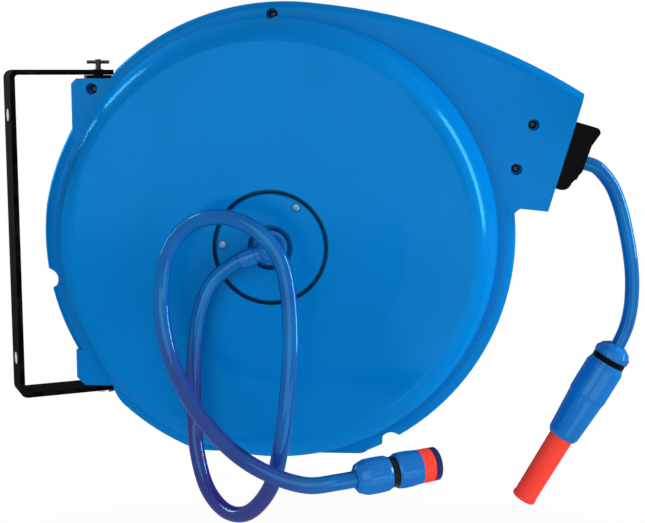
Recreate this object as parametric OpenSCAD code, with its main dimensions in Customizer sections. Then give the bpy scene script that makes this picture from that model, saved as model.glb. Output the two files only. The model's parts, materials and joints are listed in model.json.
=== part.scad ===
// Wall mounted hose reel: a moulded drum housing that swings on a flat-bar wall bracket.
// Inside, a spring wound spool carries the hose, which leaves through a roller guide.
// The origin is on the wall, midway between the bolt holes; +X points away from the wall and +Z up.

/* [Bracket] */
// Width of the flat bar
bar_w = 34; // [32:1:44]
// Thickness of the flat bar
bar_t = 5; // [4:0.5:6.5]
// Wall to the swing axis
wall_reach = 90; // [86:1:104]
// Bar left past the swing axis
arm_past = 13; // [12:1:16]
// Rim to the underside of the top arm, at the swing axis
arm_rise = 12; // [9:0.5:16]
// Rim to the upper face of the bottom arm, at the swing axis
arm_drop = 6.5; // [5:0.5:10]
// Distance between the wall bolt holes
hole_span = 240; // [200:1:260]
// Diameter of the wall bolt holes
hole_d = 11; // [8:0.5:13]
// Diameter of the swing pins
pin_d = 10; // [8:0.5:12]
// Turn of the housing from square to the wall
swing_rest = -27; // [-32:1:-20]

/* [Housing] */
// Radius of the rim at the seam
rim_r = 232; // [228:1:238]
// Seam to the flat side of the rim, lugs and snout
band_half = 30; // [29:1:33]
// Width of the rim band, from the rim to the dome
band_w = 18; // [15:1:21]
// Dome's edge to its flat face
shoulder_w = 28; // [24:1:34]
// Seam to the edge of the flat face
face_half = 92; // [91:1:98]
// Wall of the mouldings
wall_t = 3.5; // [3:0.25:4]
// Height cut off the rim at the flat foot
foot_cut = 17; // [13:1:19]
// Rim to the swing axis
pivot_inset = 52; // [49:1:55]
// Snout's tip past the rim, measured level
snout_past = 62; // [58:1:68]
// Radius of the snout's back
snout_curve = 601; // [590:1:620]
// Length of the mouth, tip to lip
mouth_h = 117; // [112:1:122]
// Lean of the mouth
mouth_tilt = 16; // [14:1:18]

/* [Hub] */
// Radius of the hub cover
hub_r = 51; // [48:1:54]
// Gap round the hub cover
hub_gap = 2.5; // [1.5:0.5:4]
// Diameter of the fixed axle
axle_d = 24; // [22:1:26]
// Water way through the axle
bore_d = 12.5; // [10:0.5:14]

/* [Spool] */
// Gap between the spool's flanges and the dome's edge
flange_gap = 24; // [22:1:30]
// Radius of the spool's barrel
barrel_r = 95; // [92:1:99]
// Flat face of the housing to the inner face of a flange
spool_room = 31; // [30:1:34]
// Thickness of the flanges and the barrel
spool_t = 4; // [3:0.5:4.5]
// Turns of the power spring
spring_turns = 8; // [6:1:9]
// Thickness of the power spring's strip
strip_t = 1.2; // [0.8:0.1:1.6]
// Teeth on the ratchet ring
teeth = 12; // [12:4:16]

/* [Hose] */
// Outer diameter of the hose
hose_d = 14; // [12.5:0.25:15]
// Layers of hose under the outer one
under_layers = 3; // [2:1:3]

/* [Hidden] */
$fn = 64;

// Clearances
run_gap = 0.05;
face_gap = 0.3;
over = 1;

// Colours
shell_blue = "#0a70b8";
fitting_blue = "#0b5ba7";
hose_blue = "#1c4fae";
nozzle_red = "#dc2a24";
black = "#1b1b1d";
steel = "#a9adb2";
brass = "#b99a4a";
grey = "#4a4d52";

// Housing sizes from the rim inwards
dome_r = rim_r - band_w;
crown_r = dome_r - shoulder_w;
foot_drop = rim_r - foot_cut;
pivot_reach = rim_r - pivot_inset;
snout_reach = rim_r + snout_past;
flange_r = dome_r - flange_gap;
spool_half = face_half - spool_room;

// Bracket places, from the rim's height to a tenth so that flat faces meet
rim_at_pivot = round(10 * sqrt(pow(rim_r, 2) - pow(pivot_reach, 2))) / 10;
arm_over = rim_at_pivot + arm_rise;
arm_under = rim_at_pivot + arm_drop;
bend_r = bar_t + 3;
arm_len = wall_reach + arm_past;
arm_corner = 8;
relief_r = max(norm([arm_past, bar_w / 2]) + 4.8, band_half + 3);

// Swing bushes
bush_r = pin_d / 2 + 5;
bush_flange_r = pin_d / 2 + 9;
bush_flange_t = 3.2;
lug_top = arm_over - bush_flange_t - face_gap;
lug_low = arm_under - bush_flange_t - face_gap;
bush_len = 34;
boss_wall = 4;
lug_past = 20;
lug_past_low = 22;
lug_corner = 5;
lug_corner_low = 8;
set_screw_z = lug_top - 10;

// Housing places
edge_r = 10;
crown_rise = 3;
panel_r = crown_r - 60;
seam_bevel = 0.8;
pocket_r = 5.5;
screw_r = 2;
boss_r = 7;
band_screw_r = rim_r - 16;
band_screw_angles = [91, 252];
bite_r = 10;
bite_angles = [190.5, 299];
toe_x = round(sqrt(pow(rim_r, 2) - pow(foot_drop, 2))) + 6;
toe_r = 12;

// Brow: the rim is drawn in a little at its upper left, up to the housing's crest
crest = rim_r - 3.6;
brow_r = rim_r + 9;
brow_centre = [7, crest - brow_r];

// Snout: its back is an arc from the crest, and the mouth's line leans back from the tip
snout_from = 25;
snout_centre = [-20, crest + 0.8 - snout_curve];
tip = [snout_reach, snout_centre[1] + sqrt(pow(snout_curve, 2) - pow(snout_reach - snout_centre[0], 2))];
mouth_n = [cos(mouth_tilt), -sin(mouth_tilt)];
mouth_u = [sin(mouth_tilt), cos(mouth_tilt)];
lip = tip - mouth_h * mouth_u;
mouth_mid = tip - mouth_h / 2 * mouth_u;
lip_rise = 5;
mouth_top = tip + (rim_r - tip[1]) / mouth_u[1] * mouth_u;
throat_r = 14;
snout_screws = [[-38, 17], [-41, -28]];

// Roller guide, in the mouth's own directions
guide_low = -35.5;
guide_high = 31;
guide_half = 24;
neck_half = 22;
neck_inset = 2;
guide_in = 16;
guide_low_n = 14;
guide_low_r = 9;
guide_mid_n = 20.5;
guide_high_n = 26;
guide_high_r = 5;
window_mid = -5;
window_half_u = 20;
window_half_y = 16;
roller_r = 5.5;
side_roller_r = 5;
roller_pin_r = 2;
roller_n = 8;
side_roller_n = -9.5;
pocket_gap = 0.8;
stop_seat = 15;
stop_len = 5;
stop_r = window_half_y + 2.5;

// Hub and axle, as heights from the seam
axle_r = axle_d / 2;
hub_seat = face_half - 4;
hub_face = face_half + 3.5;
hub_ledge_t = 4;
hub_ledge = 13;
hub_screw_r = hub_r - 6.5;
hub_screw_angles = [57, 177, 297];
elbow_seat = hub_face - 5;
elbow_flange_r = axle_r + 4;
elbow_moat = 4.5;
moat_floor = hub_seat - 5;
moat_wall = 2.5;
elbow_flange_t = 5;
elbow_r = 11;
elbow_axis = elbow_seat + 21.5;
inlet_angle = 202;
ferrule_from = 13;
ferrule_len = 14;
ferrule_r = hose_d / 2 + 1.4;
hose_seat = 18;
socket_r = axle_r + 6;
axle_end = face_half - 8;
socket_mouth = axle_end - 10;
bolt_r = 4;
bolt_head_r = 9;
bolt_head_t = 5;

// Spool, as heights from its middle
bearing_r = axle_r + 4;
spool_hub_r = bearing_r + 6;
spool_hub_len = 12;
spool_out = spool_half + spool_t;
spigot_len = 6;
rim_bead = 4;
rib_count = 8;
rib_h = 3;
collar_t = 2;
case_r = barrel_r - spool_t - 7;
case_wall = 3;
case_floor = 5;
arbor_r = axle_r + 5;
spring_from = case_floor + case_wall + 1.5;
spring_to = spool_half - spool_hub_len - 0.5;
port_y = -(spool_half - spool_hub_len) / 2 - 4;
ring_r = 1.45;
ring_track = axle_r + run_gap + 2 * ring_r + 0.1;
spout_r = 7.5;

// Ratchet on the rear flange and its pawl on the rear shell
ratchet_in = spool_hub_r + 18;
ratchet_root = ratchet_in + 12;
ratchet_tip = ratchet_root + 8;
ratchet_t = 8;
pawl_reach = 40;
pawl_lift = 14;
pawl_pivot = [-42, ratchet_tip + 8];
pawl_pin_r = 3;
pawl_eye_r = 7;
pawl_from = spool_out + 1;
pawl_to = spool_out + ratchet_t;

// Hose
hose_r = hose_d / 2;
layer_step = hose_d - 1.2;
core_r = barrel_r + under_layers * layer_step;
winding_pitch = hose_d + 0.5;
hose_turns = floor((2 * spool_half - hose_d - 1) / winding_pitch);
loop_steps = 24;
winding_r = core_r / cos(180 / loop_steps) + hose_r + 0.1;
winding_sides = 6;
hose_sides = 10;
spline_steps = 2;
lead_r = winding_r + hose_d + 0.5;

// Route of the outlet hose in the housing's middle plane, level and height from the reel axis
outlet_route = [[309, 70], [318, 62], [326, 51], [332, 38], [337, 23], [341, 7], [345, -12],
  [348, -32], [349, -52], [348, -72], [344, -91]];
nozzle_from = [337, -108];
nozzle_angle = 209.4;
nozzle_seat = 10;

// Route of the inlet hose from the elbow, with its distance in front of the hub's elbow axis
inlet_route = [[-49, 0, -27], [-60, 3, -47], [-66, 5, -74], [-69, 7, -108], [-69, 9, -146],
  [-66, 16, -184], [-54, 34, -215], [-33, 59, -229], [-9, 85, -219], [12, 104, -190], [22, 112, -150],
  [27, 109, -110], [29, 98, -70], [26, 79, -29], [17, 74, 4], [-5, 65, 27], [-35, 52, 36], [-64, 40, 28],
  [-85, 32, 5], [-93, 29, -29], [-92, 34, -62], [-82, 47, -94], [-64, 69, -122], [-40, 94, -144],
  [-12, 117, -161], [17, 131, -172], [46, 139, -177], [71, 138, -174]];
connector_from = [85, 132, -173];
connector_angle = 86;
connector_yaw = 25;
connector_seat = 12;

// Connector sizes along its own axis, and across it
nut_len = 30;
collar_from = nut_len + 6.3;
collar_to = collar_from + 22;
ring_to = collar_to + 11;
core_to = ring_to + 6;
socket_from = core_to - 26;
socket_bore_r = 8.4;
core_r_out = hose_r + 6;
nut_r = core_r_out + 1.8;
collar_r = core_r_out + 1.9;
ring_r_out = core_r_out + 1.4;
rim_ring_r = core_r_out + 1.2;
core_bore_r = 5;

// Nozzle sizes along its own axis, and across it
nozzle_nut_to = 14.5;
nozzle_nut_r = hose_r + 10.75;
nozzle_body_from = 20;
nozzle_ring_r = nozzle_nut_r - 0.6;
grip_r = nozzle_nut_r + 1.5;
grip_to = 58;
nozzle_body_to = 108;
nozzle_waist_r = nozzle_nut_r - 1.9;
nozzle_bore_r = 5;
tip_r = hose_r + 5.25;
spigot_r = tip_r - 4.25;
spigot_to = 150;
tip_to = 184;
tip_mouth_r = 6;
tip_throat_r = 3.2;

// Points of an arc, or of a quarter of an oval
function oval(x, y, rx, ry, a0, a1, n) =
  [for (i = [0 : n]) let (a = a0 + (a1 - a0) * i / n) [x + rx * cos(a), y + ry * sin(a)]];

// Half section of the housing, drawn in from its outer skin by inset
function shell_section(inset, base) = concat(
  band_section(rim_r, inset, base),
  [[dome_r - inset, band_half - inset]],
  oval(crown_r, band_half, dome_r - crown_r - inset, face_half - band_half - inset, 0, 90, 12),
  [[panel_r, face_half + crown_rise - inset], [0, face_half + crown_rise - inset]]);

// Half section of the rim band, whose outer skin is bevelled at the seam
function band_section(r, inset, base) = concat(
  [[0, base]],
  inset > 0 ? [[r - inset, base]] : [[r - seam_bevel, base], [r, base + seam_bevel]],
  oval(r - edge_r, band_half - edge_r, edge_r - inset, edge_r - inset, 0, 90, 4));

// A point in the mouth's plane as a place in the housing
function mouth_point(n, u) = mouth_mid + n * mouth_n + u * mouth_u;

// A smooth curve through all the points of a route
function spline_at(a, b, c, d, t) = 0.5 * (2 * b + (c - a) * t + (2 * a - 5 * b + 4 * c - d) * t * t
  + (3 * b - a - 3 * c + d) * t * t * t);
function spline(route, steps) = let (n = len(route) - 1) concat(
  [for (i = [0 : n - 1], k = [0 : steps - 1])
    spline_at(route[max(i - 1, 0)], route[i], route[i + 1], route[min(i + 2, n)], k / steps)],
  [route[n]]);
function unit(v) = v / norm(v);
function heading(path, i) = unit(path[min(i + 1, len(path) - 1)] - path[max(i - 1, 0)]);

// Triangles of a tube with rings of points, closed at both ends
function tube_faces(rings, sides) = concat(
  [for (i = [0 : rings - 2], k = [0 : sides - 1])
    [i * sides + k, i * sides + (k + 1) % sides, (i + 1) * sides + k]],
  [for (i = [0 : rings - 2], k = [0 : sides - 1])
    [i * sides + (k + 1) % sides, (i + 1) * sides + (k + 1) % sides, (i + 1) * sides + k]],
  [for (k = [1 : sides - 2]) [0, k + 1, k]],
  [for (k = [1 : sides - 2]) let (b = (rings - 1) * sides) [b, b + k, b + k + 1]]);

// A tube along a path, whose rings stand square to it
module tube(path, r, sides) {
  points = [for (i = [0 : len(path) - 1])
    let (t = heading(path, i), s = unit(cross(t, [0, 1, 0])), u = cross(s, t))
    for (k = [0 : sides - 1]) path[i] + r * (cos(360 * k / sides) * s + sin(360 * k / sides) * u)];
  polyhedron(points, tube_faces(len(path), sides));
}

// The housing's own frame: reel axis along Y at its origin, front at -Y, swing axis at -X
module in_housing() {
  translate([wall_reach, 0, 0]) rotate([0, 0, swing_rest]) translate([pivot_reach, 0, 0]) children();
}

// The swing axis, turned with the housing
module at_pivot() {
  translate([wall_reach, 0, 0]) rotate([0, 0, swing_rest]) children();
}

// Turned shapes about the reel axis; their second coordinate is height from the seam
module turned(side) {
  rotate([-90 * side, 0, 0]) rotate_extrude() children();
}

// Flat shapes in the reel's plane, between two heights from the seam
module slab(side, from, to) {
  translate([0, side < 0 ? -from : to, 0]) rotate([90, 0, 0]) linear_extrude(to - from) children();
}

// A round bar across the housing at one place of its plane
module bar(place, r, from, to) {
  translate([place[0], from, place[1]]) rotate([-90, 0, 0]) cylinder(r = r, h = to - from);
}
module side_bar(side, place, r, from, to) {
  bar(place, r, side < 0 ? -to : from, side < 0 ? -from : to);
}

// An upright bar on the swing axis
module pivot_bar(r, from, to) {
  translate([-pivot_reach, 0, from]) cylinder(r = r, h = to - from);
}

// The mouth's own directions: X out of the mouth, Z up along it
module at_mouth() {
  translate([mouth_mid[0], 0, mouth_mid[1]]) rotate([0, mouth_tilt, 0]) children();
}

// A block in the mouth's directions, centred across the housing
module mouth_block(n, u, half) {
  translate([n[0], -half, u[0]]) cube([n[1] - n[0], 2 * half, u[1] - u[0]]);
}

function polar(r, a) = [r * cos(a), r * sin(a)];

// Bracket
module bar_section() {
  top = arm_over + bar_t;
  low = -arm_under - bar_t;
  inner = bend_r - bar_t;
  polygon(concat(
    [[arm_len, top]],
    oval(bend_r, top - bend_r, bend_r, bend_r, 90, 180, 6),
    oval(bend_r, low + bend_r, bend_r, bend_r, 180, 270, 6),
    [[arm_len, low], [arm_len, low + bar_t]],
    oval(bend_r, low + bend_r, inner, inner, 270, 180, 6),
    oval(bend_r, top - bend_r, inner, inner, 180, 90, 6),
    [[arm_len, top - bar_t]]));
}

module bar_plan() {
  half = bar_w / 2;
  polygon(concat(
    [[-over, -half]],
    oval(arm_len - arm_corner, arm_corner - half, arm_corner, arm_corner, -90, 0, 6),
    oval(arm_len - arm_corner, half - arm_corner, arm_corner, arm_corner, 0, 90, 6),
    [[-over, half]]));
}

module bracket() {
  height = arm_over + arm_under + 2 * bar_t + 2 * over;
  color(black) difference() {
    intersection() {
      rotate([90, 0, 0]) linear_extrude(bar_w, center = true) bar_section();
      translate([0, 0, -arm_under - bar_t - over]) linear_extrude(height) bar_plan();
    }
    for (z = [-hole_span / 2, hole_span / 2])
      translate([-over, 0, z]) rotate([0, 90, 0]) cylinder(d = hole_d, h = bar_t + 2 * over);
    translate([wall_reach, 0, arm_over - over])
      cylinder(r = pin_d / 2 + run_gap, h = bar_t + 2 * over);
    translate([wall_reach, 0, -arm_under - bar_t - over]) cylinder(d = pin_d, h = bar_t + 2 * over);
  }
}

module pivot_stud() {
  low = -arm_under - bar_t;
  color(steel) at_pivot() {
    translate([0, 0, low]) cylinder(d = pin_d, h = bar_t + bush_flange_t + bush_len - 4);
    translate([0, 0, low - 4]) cylinder(r = pin_d / 2 + 4, h = 4);
  }
}

// Drop pin through the top arm, with a cross bar to lift it by
handle_rise = 7.5;
handle_r = 1.7;
handle_half = 11;
neck_r = 2.8;

module handle_bar() {
  translate([-handle_half, 0, arm_over + bar_t + handle_rise]) rotate([0, 90, 0])
    cylinder(r = handle_r, h = 2 * handle_half);
}

module lock_pin() {
  top = arm_over + bar_t + 0.5;
  color(steel) at_pivot() difference() {
    union() {
      translate([0, 0, lug_top - bush_len + 2]) cylinder(d = pin_d, h = top - lug_top + bush_len - 2);
      translate([0, 0, top]) cylinder(r = neck_r, h = handle_rise + handle_r + 0.5);
    }
    handle_bar();
  }
}

module pin_handle() {
  color(steel) at_pivot() handle_bar();
}

// Housing shells
module snout(side, inset) {
  low = lip[1] + inset;
  shift = inset * mouth_n;
  base = inset > 0 ? -over : 0;
  intersection() {
    translate([snout_centre[0], 0, snout_centre[1]]) turned(side)
      polygon(concat(band_section(snout_curve, inset, base), [[0, band_half - inset]]));
    slab(side, base, band_half) polygon([
      [snout_from, low + lip_rise], [snout_from, rim_r], mouth_top - shift, lip + inset * mouth_u - shift,
      [rim_r - 20, low + lip_rise]]);
  }
}

module throat_fillet(side) {
  corner = [sqrt(pow(rim_r, 2) - pow(lip[1], 2)) - 3, lip[1] + lip_rise - 1];
  difference() {
    slab(side, 0, band_half) translate([corner[0] - 4, corner[1] - throat_r])
      square([throat_r + 4, throat_r]);
    side_bar(side, corner + [throat_r, -throat_r], throat_r, -over, band_half + over);
  }
}

module upper_lug(side) {
  left = -pivot_reach - lug_past;
  slab(side, 0, band_half) polygon([
    [left, lug_top - 60], [left, lug_top - lug_corner], [left + lug_corner, lug_top],
    [-pivot_reach + 50, lug_top], [-pivot_reach + 50, lug_top - 60]]);
}

module lower_lug(side) {
  left = -pivot_reach - lug_past_low;
  slab(side, 0, band_half) polygon([
    [left, 36 - lug_low], [left, lug_corner_low - lug_low], [left + lug_corner_low, -lug_low],
    [-pivot_reach + 40, -lug_low], [-pivot_reach + 40, 36 - lug_low]]);
}

module foot_toe(side) {
  slab(side, 0, band_half) polygon(concat(
    [[toe_x - 40, -foot_drop]],
    oval(toe_x - toe_r, toe_r - foot_drop, toe_r, toe_r, -90, 0, 5),
    [[toe_x, 26 - foot_drop], [toe_x - 40, 26 - foot_drop]]));
}

// The round body, drawn in under the brow
module drum_body(side, inset, base) {
  intersection() {
    turned(side) polygon(shell_section(inset, base));
    translate([brow_centre[0], 0, brow_centre[1]]) turned(side) polygon(concat(
      band_section(brow_r, inset, base), [[brow_r - edge_r, 2 * face_half], [0, 2 * face_half]]));
  }
}

module shell_skin(side) {
  drum_body(side, 0, 0);
  snout(side, 0);
  throat_fillet(side);
  upper_lug(side);
  lower_lug(side);
  foot_toe(side);
}

// Cylinders round the swing axis that clear the ends of the bracket's arms
module arm_reliefs(grow) {
  pivot_bar(relief_r + grow, lug_top - grow, rim_r);
  pivot_bar(relief_r + grow, -rim_r, grow - lug_low);
}

// What stands inside the shell: bosses, and walls round what is cut from its skin
module shell_bosses(side) {
  arm_reliefs(wall_t);
  pivot_bar(bush_r + boss_wall, lug_top - bush_len - boss_wall, lug_top);
  pivot_bar(bush_r + boss_wall, -lug_low, bush_len + boss_wall - lug_low);
  for (a = bite_angles)
    side_bar(side, polar(rim_r, a), bite_r + wall_t, -over, band_half);
  for (a = band_screw_angles)
    side_bar(side, polar(band_screw_r, a), boss_r, -over, band_half);
  for (p = snout_screws)
    side_bar(side, mouth_point(p[0], p[1]), boss_r, -over, band_half);
  slab(side, -over, face_half) translate([-rim_r, -rim_r]) square([2 * rim_r, rim_r - foot_drop + wall_t]);
}

module shell_hollow(side) {
  difference() {
    union() {
      drum_body(side, wall_t, -over);
      snout(side, wall_t);
    }
    shell_bosses(side);
    children();
  }
}

module shell_cuts(side) {
  arm_reliefs(0);
  pivot_bar(bush_r, lug_top - bush_len, lug_top + over);
  pivot_bar(bush_r, -lug_low - over, bush_len - lug_low);
  for (a = bite_angles)
    side_bar(side, polar(rim_r, a), bite_r, -over, band_half + over);
  for (a = band_screw_angles)
    side_bar(side, polar(band_screw_r, a), screw_r, -over, band_half - 10);
  for (p = snout_screws)
    side_bar(side, mouth_point(p[0], p[1]), screw_r, -over, band_half - 10);
  slab(side, -over, face_half) translate([-rim_r, -rim_r - over])
    square([2 * rim_r, rim_r - foot_drop + over]);
  at_mouth()
    mouth_block([-wall_t - over, over], [guide_low + neck_inset, guide_high - neck_inset], neck_half);
}

module shell_half(side) {
  difference() {
    shell_skin(side);
    shell_hollow(side) children();
    shell_cuts(side);
  }
}

module front_shell() {
  screws = concat([for (a = band_screw_angles) polar(band_screw_r, a)],
    [for (p = snout_screws) mouth_point(p[0], p[1])]);
  ledge_r = hub_r + hub_gap - hub_ledge;
  color(shell_blue) in_housing() difference() {
    shell_half(-1)
      turned(-1) translate([ledge_r, hub_seat - hub_ledge_t])
        square([hub_ledge + wall_t, face_half]);
    turned(-1) translate([0, hub_seat]) square([hub_r + hub_gap, face_half]);
    bar([0, 0], ledge_r, -2 * face_half, -hub_seat + hub_ledge_t);
    for (p = screws)
      side_bar(-1, p, pocket_r, band_half - 12, 2 * band_half);
    side_bar(-1, [-pivot_reach, set_screw_z], pocket_r, band_half - 12, 2 * band_half);
    side_bar(-1, [-pivot_reach, set_screw_z], screw_r, bush_r - over, 2 * band_half);
    for (a = hub_screw_angles)
      side_bar(-1, polar(hub_screw_r, a), screw_r, hub_seat - hub_ledge_t - over, face_half);
  }
}

module rear_shell() {
  color(shell_blue) in_housing() difference() {
    shell_half(1) {
      bar([0, 0], socket_r, socket_mouth, 2 * face_half);
      bar(pawl_pivot, pawl_eye_r, pawl_to + 0.5, 2 * face_half);
    }
    bar([0, 0], axle_r, socket_mouth - over, axle_end);
    bar([0, 0], bolt_r, socket_mouth - over, 2 * face_half);
    bar([0, 0], bolt_head_r + 3, face_half, 2 * face_half);
    bar(pawl_pivot, pawl_pin_r, pawl_from, face_half - 6);
  }
}

module screw(side, place, seat, tip_at) {
  side_bar(side, place, screw_r, tip_at, seat);
  side_bar(side, place, 2 * screw_r, seat, seat + screw_r);
}

module shell_screws() {
  seat = band_half - 12;
  color(grey) in_housing() {
    for (a = band_screw_angles)
      screw(-1, polar(band_screw_r, a), seat, 10 - band_half);
    for (p = snout_screws)
      screw(-1, mouth_point(p[0], p[1]), seat, 10 - band_half);
    screw(-1, [-pivot_reach, set_screw_z], seat, bush_r);
  }
}

module swing_bush() {
  rotate_extrude() polygon([
    [pin_d / 2 + run_gap, -bush_len], [bush_r, -bush_len], [bush_r, 0], [bush_flange_r, 0],
    [bush_flange_r, bush_flange_t], [pin_d / 2 + run_gap, bush_flange_t]]);
}

module upper_bush() {
  color(black) at_pivot() translate([0, 0, lug_top]) swing_bush();
}

module lower_bush() {
  color(black) at_pivot() translate([0, 0, -lug_low]) mirror([0, 0, 1]) swing_bush();
}

// Hub cover and the fixed axle
module hub_cover() {
  round_edge = 2;
  moat_r = elbow_flange_r + elbow_moat;
  color(shell_blue) in_housing() difference() {
    turned(-1) polygon([
      [axle_r, moat_floor - moat_wall], [moat_r + moat_wall, moat_floor - moat_wall],
      [moat_r + moat_wall, hub_seat], [hub_r, hub_seat], [hub_r, hub_face - round_edge],
      [hub_r - round_edge, hub_face], [moat_r + 0.5, hub_face], [moat_r, moat_floor],
      [elbow_flange_r, moat_floor], [elbow_flange_r, elbow_seat], [axle_r, elbow_seat]]);
    for (a = hub_screw_angles) {
      side_bar(-1, polar(hub_screw_r, a), screw_r, hub_seat - over, hub_face + over);
      side_bar(-1, polar(hub_screw_r, a), 2 * screw_r + 0.4, hub_face - 1, hub_face + over);
    }
  }
}

module hub_screws() {
  color(steel) in_housing()
    for (a = hub_screw_angles)
      screw(-1, polar(hub_screw_r, a), hub_face - 1, hub_seat - hub_ledge_t);
}

module axle() {
  port_len = axle_r + over;
  color(steel) in_housing() difference() {
    bar([0, 0], axle_r, -elbow_seat, axle_end);
    bar([0, 0], bore_d / 2, -elbow_seat - over, port_y + 6);
    translate([0, port_y, 0]) rotate([0, 90, 0]) cylinder(r = 4, h = port_len);
    bar([0, 0], bolt_r, axle_end - 16, axle_end + over);
  }
}

module axle_bolt() {
  color(steel) in_housing() {
    bar([0, 0], bolt_r, axle_end - 16, face_half);
    translate([0, face_half, 0]) rotate([-90, 0, 0]) cylinder(r = bolt_head_r, h = bolt_head_t, $fn = 6);
  }
}

module spring_arbor() {
  color(grey) in_housing() difference() {
    bar([0, 0], arbor_r, spring_from, spring_to);
    bar([0, 0], axle_r, spring_from - over, spring_to + over);
  }
}

// Elbow that turns the water way from the axle to the inlet hose
module toward_inlet() {
  translate([0, -elbow_axis, 0]) rotate([0, 90 - inlet_angle, 0]) children();
}

module inlet_elbow() {
  color(fitting_blue) in_housing() difference() {
    union() {
      bar([0, 0], elbow_flange_r, -elbow_seat - elbow_flange_t, -elbow_seat);
      bar([0, 0], elbow_r, -elbow_axis, -elbow_seat);
      translate([0, -elbow_axis, 0]) sphere(r = elbow_r);
      toward_inlet() cylinder(r = hose_r, h = ferrule_from);
      toward_inlet() cylinder(r = hose_r - 1, h = hose_seat);
    }
    bar([0, 0], bore_d / 2, -elbow_axis, -elbow_seat + over);
    toward_inlet() cylinder(r = bore_d / 2 - 2, h = hose_seat + over);
  }
}

module inlet_ferrule() {
  color(fitting_blue) in_housing() toward_inlet() rotate_extrude() polygon([
    [hose_r - 1, ferrule_from], [ferrule_r, ferrule_from], [ferrule_r, ferrule_from + ferrule_len],
    [hose_r + 0.1, ferrule_from + ferrule_len], [hose_r + 0.1, hose_seat], [hose_r - 1, hose_seat]]);
}

// Spool
module flange(side) {
  hub_in = spool_half - spool_hub_len;
  tube_in = barrel_r - spool_t;
  spigot = spool_half - spigot_len;
  bead = spool_out + rim_bead;
  turned(side) polygon([
    [bearing_r, hub_in], [spool_hub_r, hub_in], [spool_hub_r, spool_half],
    [tube_in - spool_t, spool_half], [tube_in - spool_t, spigot], [tube_in, spigot], [tube_in, spool_half],
    [flange_r, spool_half], [flange_r, bead], [flange_r - spool_t, bead], [flange_r - spool_t, spool_out],
    [bearing_r, spool_out]]);
  for (i = [0 : rib_count - 1])
    rotate([0, 360 * i / rib_count, 0]) slab(side, spool_out, spool_out + rib_h)
      translate([barrel_r + 10, -spool_t / 2]) square([flange_r - barrel_r - 12, spool_t]);
}

module front_flange() {
  color(grey) in_housing() flange(-1);
}

module rear_flange() {
  color(grey) in_housing() flange(1);
}

module barrel() {
  color(grey) in_housing() difference() {
    bar([0, 0], barrel_r, -spool_half, spool_half);
    bar([0, 0], barrel_r - spool_t, -spool_half - over, spool_half + over);
    translate([0, port_y, 0]) rotate([0, 90, 0]) cylinder(r = spout_r + face_gap, h = barrel_r + over);
  }
}

module bearing(side) {
  turned(side) polygon([
    [axle_r + run_gap, spool_half - spool_hub_len], [bearing_r, spool_half - spool_hub_len],
    [bearing_r, spool_out], [bearing_r + 3, spool_out], [bearing_r + 3, spool_out + collar_t],
    [axle_r + run_gap, spool_out + collar_t]]);
}

module front_bearing() {
  color(brass) in_housing() bearing(-1);
}

module rear_bearing() {
  color(brass) in_housing() bearing(1);
}

// Rotary union that passes water from the axle's port to the turning spool
function seal_places() = [port_y - 13, port_y + 13];

module union_body() {
  from = -(spool_half - spool_hub_len);
  to = port_y + 18;
  color(brass) in_housing() difference() {
    union() {
      bar([0, 0], spool_hub_r, from, to);
      translate([0, port_y, 0]) rotate([0, 90, 0]) cylinder(r = spout_r, h = barrel_r - 1);
    }
    bar([0, 0], axle_r + run_gap, from - over, to + over);
    bar([0, 0], axle_r + 4, port_y - 5, port_y + 5);
    for (y = seal_places())
      bar([0, 0], ring_track, y - ring_r - 0.4, y + ring_r + 0.4);
    translate([0, port_y, 0]) rotate([0, 90, 0]) cylinder(r = spout_r - 2.5, h = barrel_r);
  }
}

module o_rings() {
  color(black) in_housing()
    for (y = seal_places())
      translate([0, y, 0]) rotate([-90, 0, 0]) rotate_extrude()
        translate([axle_r + run_gap + ring_r, 0]) circle(r = ring_r, $fn = 24);
}

// Power spring in its case
module spring_case() {
  color(grey) in_housing() turned(1) polygon([
    [axle_r + 2, case_floor], [case_r, case_floor], [case_r, spool_half], [case_r - case_wall, spool_half],
    [case_r - case_wall, case_floor + case_wall], [axle_r + 2, case_floor + case_wall]]);
}

module spring_cover() {
  color(grey) in_housing() turned(1) translate([spool_hub_r + 0.3, spool_half - spool_hub_len + 1])
    square([case_r - case_wall - spool_hub_r - 0.3, case_wall]);
}

module power_spring() {
  first = arbor_r + face_gap;
  last = case_r - case_wall - strip_t - face_gap;
  steps = 20 * spring_turns;
  function spiral(i) = polar(first + (last - first) * i / steps, 18 * i);
  function outer(i) = polar(first + strip_t + (last - first) * i / steps, 18 * i);
  color(steel) in_housing() slab(1, spring_from, spring_to) polygon(concat(
    [for (i = [0 : steps]) spiral(i)], [for (i = [steps : -1 : 0]) outer(i)]));
}

// Ratchet and pawl
module ratchet_ring() {
  step = 360 / teeth;
  color(steel) in_housing() difference() {
    slab(1, spool_out, spool_out + ratchet_t) polygon([
      for (i = [0 : teeth - 1], k = [0, 1])
        polar(k == 0 ? ratchet_tip : ratchet_root, 90 - step * (i + k))]);
    bar([0, 0], ratchet_in, spool_out - over, spool_out + ratchet_t + over);
  }
}

module pawl() {
  tip_at = [pawl_reach, -13];
  color(steel) in_housing() difference() {
    translate([pawl_pivot[0], 0, pawl_pivot[1]]) rotate([0, -pawl_lift, 0]) union() {
      bar([0, 0], pawl_eye_r, pawl_from, pawl_to);
      slab(1, pawl_from, pawl_to) polygon([
        [0, -pawl_eye_r + 1], tip_at + [0, -1], tip_at + [0, 4], [10, pawl_eye_r - 1], [0, pawl_eye_r]]);
    }
    bar(pawl_pivot, pawl_pin_r + run_gap, pawl_from - over, pawl_to + over);
  }
}

module pawl_pin() {
  color(steel) in_housing() bar(pawl_pivot, pawl_pin_r, pawl_from, face_half - 6);
}

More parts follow.
